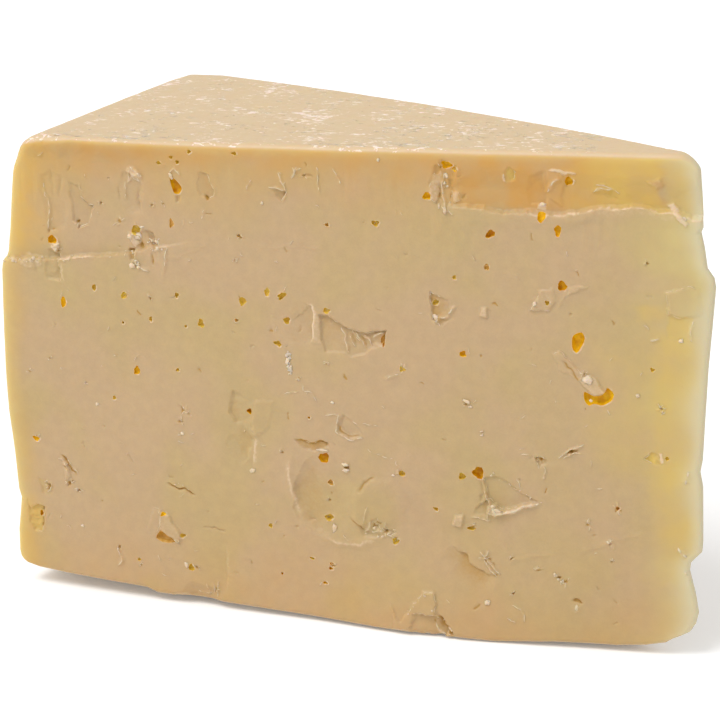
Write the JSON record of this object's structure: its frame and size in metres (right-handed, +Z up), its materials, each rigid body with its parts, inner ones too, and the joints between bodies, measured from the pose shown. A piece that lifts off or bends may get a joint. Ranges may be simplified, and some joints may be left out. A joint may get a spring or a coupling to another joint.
{
  "type": "hard cheese chunk",
  "caption": "Upright wedge of pale yellow hard cheese with small round eyes, torn and scraped knife cuts, a smooth top and a flat underside.",
  "frame": {"origin": "middle of the bounding box on the surface that the chunk stands on", "axes": "+Z up, +X towards the wedge's tip along the front knife cut, +Y from the front knife cut to the back one"},
  "size_m": [0.1602, 0.0706, 0.1104],
  "materials": {
    "cheese": null
  },
  "bodies": {
    "root": {"cheese_chunk": "cheese"}
  },
  "joints": []
}
